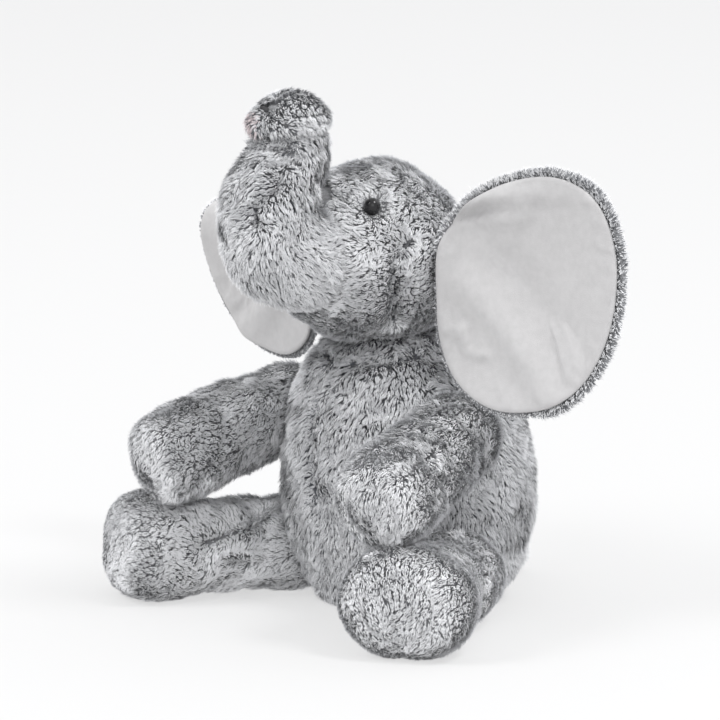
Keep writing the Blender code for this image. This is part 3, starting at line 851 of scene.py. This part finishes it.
def pile_object(name, corners, low, high, body):
    """A mesh of blades, each a four-sided foot and a three-sided tip, with a shade for either."""
    count = len(corners)
    base = (np.arange(count) * 5)[:, None]
    loops = np.concatenate([base + np.array([0, 1, 2, 3]), base + np.array([3, 2, 4])], axis=1)
    starts = (np.arange(count) * 7)[:, None] + np.array([0, 4])
    data = bpy.data.meshes.new(name)
    data.vertices.add(count * 5)
    data.vertices.foreach_set("co", corners.astype(np.float32).ravel())
    data.loops.add(count * 7)
    data.loops.foreach_set("vertex_index", loops.astype(np.int32).ravel())
    data.polygons.add(count * 2)
    data.polygons.foreach_set("loop_start", starts.astype(np.int32).ravel())
    for material in PILE:
        data.materials.append(material)
    data.update(calc_edges=True)
    slots = np.stack([low, high], axis=1).astype(np.int32)
    data.polygons.foreach_set("material_index", slots.ravel())
    data.polygons.foreach_set("use_smooth", np.ones(count * 2, bool))
    data.update()
    obj = link(name, data)
    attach(obj, body)


# ---------------------------------------------------------------- ears


def ear_grid(side_name, side, outline_scale, front, back):
    """Rings of an ear's plate from the middle of its front, over the rim, to the middle of its back."""
    rows, around = EAR_GRID
    outline = np.array(EAR_OUTLINE + EAR_OUTLINE[:3])
    rim = spline(outline, np.linspace(1, len(EAR_OUTLINE) + 1, around + 1)[:-1])
    middle = np.array(EAR_MIDDLE)

    def ring(share, depth):
        return ear_ring(side_name, side, middle + (rim - middle) * share, share, depth)

    shares = np.linspace(0.03, 1, rows) ** 0.8
    rings = [ring(share * outline_scale, front(share)) for share in shares]
    for t in np.linspace(0, 1, 5)[1:-1]:
        depth = front(1.0) + (back(1.0) - front(1.0)) * t
        rings.append(ring(outline_scale * (1 + 0.012 * math.sin(math.pi * t)), depth))
    rings += [ring(share * outline_scale, back(share)) for share in shares[::-1]]
    return np.array(rings)


def ear_ring(side_name, side, places, share, depth):
    """Points of a flat ear, out from its root and up, laid in the ear's cupped and bent plate."""
    ear = EARS[side_name]
    sweep, lean = math.radians(ear["sweep"]), math.radians(ear["lean"])
    root = mirrored(JOINTS[f"{side_name}_ear_flap"]["pos_m"], side) + np.array([0.002, 0, 0])
    outward = np.array([math.cos(sweep), math.sin(sweep), 0.0])
    behind = np.array([-math.sin(sweep), math.cos(sweep), 0.0])
    rise = np.array([0.0, math.sin(lean), math.cos(lean)])
    out, height = places[:, 0] * ear["size"], places[:, 1] * ear["size"]
    depth = depth + EAR_CUP * (1 - share**2)
    past = np.clip(height - ear["bend"], 0, None)
    turn = np.minimum(past / BEND_RADIUS, BEND_ANGLE)
    straight = past - turn * BEND_RADIUS
    up = np.minimum(height, ear["bend"]) + BEND_RADIUS * np.sin(turn) + straight * np.cos(turn)
    back = BEND_RADIUS * (1 - np.cos(turn)) + straight * np.sin(turn)
    up, back = up - depth * np.sin(turn), back + depth * np.cos(turn)
    points = root + outward * out[:, None] + behind * back[:, None] + rise * up[:, None]
    points[:, 0] *= side
    return points


def ear_skins(side_name, side):
    """The padded plush back with its rolled rim, and the velour lining that lies in front of it."""
    back_rings = ear_grid(side_name, side, 1.0, lambda s: 0.0004, lambda s: 0.0058 - 0.0020 * s**6)
    lining_rings = ear_grid(
        side_name, side, LINING_SHARE, lambda s: -0.0030 - 0.0014 * (1 - s**4), lambda s: -0.0003
    )
    back = Skin(back_rings, 1.0)
    root = np.array(JOINTS[f"{side_name}_ear_flap"]["pos_m"])
    out, high = np.abs(back.points[:, 0] - root[0]), back.points[:, 2] - root[2]
    if side_name == "left":
        rolled = fade(-high, 0.020, 0.03) * np.clip((0.100 - out) / 0.03, 0, 1)
        at_root = np.clip((0.022 - out) / 0.012, 0, 1) * np.clip((0.045 - high) / 0.02, 0, 1)
        rolled = np.maximum(rolled, at_root)
    else:
        rolled = np.clip((0.030 - high) / 0.02, 0, 1)
    rows, around = back.shape
    row = np.repeat(np.arange(rows), around)
    rolled = rolled * (row < rows // 2 + 4)
    back.length = 1.0 - 0.80 * rolled
    back.density = 1.0 - 0.35 * rolled
    behind = fade(row, rows * 0.62, rows * 0.2)[:, None]
    back.sway = 2.4 * behind * unit(np.array([0.6 * side, 0.0, -0.8]))
    return back, Skin(lining_rings, 1.0)


def crease_lining(lining, side_name, side):
    """Folds the velour: a slanting ridge, a tuck at the root and soft puckers, then lets it settle."""
    local = lining.points - np.array(JOINTS[f"{side_name}_ear_flap"]["pos_m"])
    out, high = np.abs(local[:, 0]), local[:, 2]
    slant = 0.663 * out + 0.7485 * high - 0.0231
    crease = 0.0070 * bell(slant, 0.014) - 0.0034 * bell(slant - 0.028, 0.013)
    crease *= bell(out - 0.06, 0.05)
    fold = high - 0.042 - 0.026 * (1 - np.exp(-out / 0.025))
    tuck = (0.0085 * bell(fold - 0.009, 0.0075) - 0.0034 * bell(fold, 0.0045)) * bell(out, 0.070)
    soft = 0.0012 * noise(lining.points, 0.040, 77) + 0.0003 * noise(lining.points, 0.012, 78)
    sweep = math.radians(EARS[side_name]["sweep"])
    forward = np.array([math.sin(sweep) * side, -math.cos(sweep), 0.0])
    moved = (crease + tuck + soft)[:, None] * forward
    lining.rings = lining.rings + moved.reshape(lining.rings.shape)
    lining.refresh()
    rows, around = lining.shape
    front = np.repeat(np.arange(rows) < rows // 2 - 2, around)
    held = np.where(front, 0.02, 1.0)
    settle(lining, held, 0.0030, sink=0.0, pressure=LINING_PRESSURE, growth=LINING_GROWTH)


# ---------------------------------------------------------------- covers and linings

skins = {"body": body_skin(), "head": head_skin(), "trunk": trunk_skin(), "tail": tail_skin()}
for side_name, side in SIDES:
    for kind, limb, joint in (("arm", ARM, "arm_lift"), ("leg", LEG, "leg_swing")):
        root = np.array(JOINTS[f"{side_name}_{joint}"]["pos_m"])
        skins[f"{side_name}_{kind}"] = limb_skin(limb, root, side, 31 + len(skins))
    back, lining = ear_skins(side_name, side)
    crease_lining(lining, side_name, side)
    skins[f"{side_name}_ear"] = back
    skins[f"{side_name}_lining"] = lining

trees = {name: outward_tree(skin) for name, skin in skins.items()}
neighbours = {
    "body": ("head", "left_arm", "right_arm", "left_leg", "right_leg"),
    "head": ("body", "trunk", "left_ear", "right_ear"),
    "trunk": ("head",),
    "tail": ("body",),
}
for side_name, _ in SIDES:
    neighbours[f"{side_name}_arm"] = ("body", f"{side_name}_leg")
    neighbours[f"{side_name}_leg"] = ("body", f"{side_name}_arm")
    neighbours[f"{side_name}_ear"] = ("head", f"{side_name}_lining")
for name, others in neighbours.items():
    keep_clear(skins[name], [trees[other] for other in others])


def covered_nodes(name):
    """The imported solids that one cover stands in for."""
    if name == "body":
        panels = [f"body_{part}_{side_name}" for part in ("front", "back") for side_name, _ in SIDES]
        return panels + ["seat_panel", "bean_bag", "body_stuffing"]
    if name == "head":
        return ["head_left_panel", "head_right_panel", "crown_gusset", "chin_gusset", "head_stuffing"]
    if name == "trunk":
        return ["trunk_left_panel", "trunk_right_panel", "trunk_stuffing", "trunk_tip"]
    if name.endswith("_ear"):
        return [f"{name}_back"]
    pad = "paw_pad" if name.endswith("arm") else "foot_sole"
    return [f"{name}_outer", f"{name}_inner", f"{name}_stuffing", f"{name[:-4]}_{pad}"]


for name, skin in skins.items():
    if name.endswith("_lining") or name == "tail":
        continue
    obj = skin.mesh(f"{name}_skin", [BACKING])
    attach(obj, "torso" if name == "body" else name)
    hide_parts(*covered_nodes(name))

for side_name, _ in SIDES:
    obj = skins[f"{side_name}_lining"].mesh(f"{side_name}_ear_lining_skin", [VELOUR])
    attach(obj, f"{side_name}_ear")
    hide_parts(f"{side_name}_ear_lining")

# ---------------------------------------------------------------- eyes, nostril, tail, washers


def make_eye(side_name):
    """A black dome with a thin flange and a stem, standing through the pile."""
    centre, outward = eye_place(side_name)
    across = unit(np.cross(outward, UP))
    upward = np.cross(across, outward)
    arc = np.linspace(0.04, math.pi / 2, 20)
    profile = [(0.0060 * math.cos(a) + 0.0012, 0.0059 * math.sin(a)) for a in arc]
    profile += [(-0.0006, 0.0061), (-0.0016, 0.0060), (-0.0020, 0.0030), (-0.0090, 0.0018), (-0.0092, 0.0004)]
    turn = circle(48)[:, None]
    ring = across * np.cos(turn) + upward * np.sin(turn)
    rings = np.array([centre + outward * along + ring * radius for along, radius in profile])
    eye = Skin(rings, 1.0).mesh(f"{side_name}_eye_dome", [GLOSS])
    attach(eye, "head")
    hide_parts(f"{side_name}_eye")


def make_nostril():
    """A near-black tube along the nostril's slit, sunk in the pile of the trunk's cap."""
    spots = spline(NOSTRIL_SLIT, np.linspace(0, len(NOSTRIL_SLIT) - 1, 15))
    slit = unit(spots[-1] - spots[0])
    turn = circle(16)[:, None]
    rings = []
    for t, spot in zip(np.linspace(-1, 1, len(spots)), spots):
        place, normal, _, _ = trees["trunk"].find_nearest(Vector(spot))
        out = unit(normal)
        across = unit(np.cross(out, slit))
        radius = 0.0005 + 0.0016 * math.sqrt(max(0.0, 1 - t * t))
        rings.append(np.array(place) + out * 0.0026 + radius * (out * np.cos(turn) + across * np.sin(turn)))
    stitch = Skin(np.array(rings), 1.0).mesh("nostril_dark_tube", [NOSTRIL])
    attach(stitch, "trunk")


def make_tail():
    """A plush tube that ends in a loose tuft."""
    tail = skins["tail"].mesh("tail_skin", [BACKING])
    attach(tail, "tail")
    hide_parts("tail", "tail_tuft")
    grow_pile("tail_pile", skins["tail"], 104, "tail", per_mm2=2.2, length=0.0060, width=0.0006)


for side_name, _ in SIDES:
    make_eye(side_name)
make_nostril()
make_tail()

# The washers behind the eyes are kept as packed.
for side_name, _ in SIDES:
    washer = frame["nodes"][f"{side_name}_eye_washer"]
    washer.data.materials.clear()
    washer.data.materials.append(WASHER)

# ---------------------------------------------------------------- pile of the grey plush

grow_pile("body_pile", skins["body"], 101, "torso", per_mm2=1.6, pale=-0.26)
grow_pile("head_pile", skins["head"], 102, "head", per_mm2=1.9, length=0.0074, pale=0.17, gathered=0.36)
grow_pile("trunk_pile", skins["trunk"], 103, "trunk", per_mm2=1.6, length=0.0080, pale=-0.10)
for number, (side_name, _) in enumerate(SIDES):
    for kind, seed, lift in (("arm", 210, 0.85), ("leg", 221, 0.62)):
        limb_name = f"{side_name}_{kind}"
        grow_pile(
            f"{limb_name}_pile", skins[limb_name], seed + 20 * number, limb_name,
            per_mm2=1.9, length=0.0074, width=0.00064, gathered=0.34, lift=lift,
        )
    ear_name = f"{side_name}_ear"
    grow_pile(f"{ear_name}_pile", skins[ear_name], 120 + number, ear_name, length=0.0075)

# ---------------------------------------------------------------- stage, light, camera

LIGHTS = {
    "key": dict(place=(-1.6, -4.0, 3.9), size=2.2, power=140),
    "fill": dict(place=(4.0, -3.4, 2.2), size=4.0, power=50),
    "back": dict(place=(1.2, 4.0, 3.6), size=4.0, power=32),
    "above": dict(place=(2.6, 0.4, 4.2), size=1.2, power=95),
}
LIT_POINT = Vector((0.0, -0.03, 0.17))
FLOOR_HALF = 6.0
FLOOR_SHADE = 0.24
FLOOR_GLOW = 0.57
SKY_COLOUR = (0.98, 0.985, 1.0, 1)
SKY_STRENGTH = 0.945

# The camera stands at the front left and a little above the toy, a long way off with a long lens.
AZIMUTH, ELEVATION, DISTANCE = math.radians(45), math.radians(10), 3.5
VIEW_WIDTH = 0.5256  # at the toy
AIM_RIGHT, AIM_UP = -0.03577, 0.17155
SENSOR_MM = 36


def area_light(name, place, size, power):
    light = bpy.data.lights.new(name, "AREA")
    light.energy = power
    light.size = size
    obj = link(name, light)
    obj.location = place
    obj.rotation_euler = (LIT_POINT - Vector(place)).to_track_quat("-Z", "Y").to_euler()


def make_floor():
    corners = [(x * FLOOR_HALF, y * FLOOR_HALF, 0) for x, y in ((-1, -1), (1, -1), (1, 1), (-1, 1))]
    data = bpy.data.meshes.new("floor")
    data.from_pydata(corners, [], [(0, 1, 2, 3)])
    white = plain_material("floor_white", (FLOOR_SHADE, FLOOR_SHADE, FLOOR_SHADE), 0.9, 0.0)
    inputs = white.node_tree.nodes["Principled BSDF"].inputs
    inputs["Emission Color"].default_value = (1, 1, 1, 1)
    inputs["Emission Strength"].default_value = FLOOR_GLOW
    data.materials.append(white)
    link("floor", data)


def make_world():
    world = bpy.data.worlds.new("studio")
    bpy.context.scene.world = world
    world.use_nodes = True
    inputs = world.node_tree.nodes["Background"].inputs
    inputs["Color"].default_value = SKY_COLOUR
    inputs["Strength"].default_value = SKY_STRENGTH
    bpy.context.scene.view_settings.view_transform = "Standard"


def make_camera():
    level = math.cos(ELEVATION)
    toward = Vector((math.sin(AZIMUTH) * level, -math.cos(AZIMUTH) * level, math.sin(ELEVATION)))
    right = Vector((math.cos(AZIMUTH), math.sin(AZIMUTH), 0))
    above = toward.cross(right)
    lens = bpy.data.cameras.new("camera")
    lens.sensor_width = SENSOR_MM
    lens.lens = SENSOR_MM * DISTANCE / VIEW_WIDTH
    lens.clip_end = 100
    camera = link("camera", lens)
    pose = Matrix((right, above, toward)).transposed().to_4x4()
    pose.translation = right * AIM_RIGHT + above * AIM_UP + toward * DISTANCE
    camera.matrix_world = pose
    bpy.context.scene.camera = camera


make_floor()
for name, light in LIGHTS.items():
    area_light(name, **light)
make_world()
make_camera()
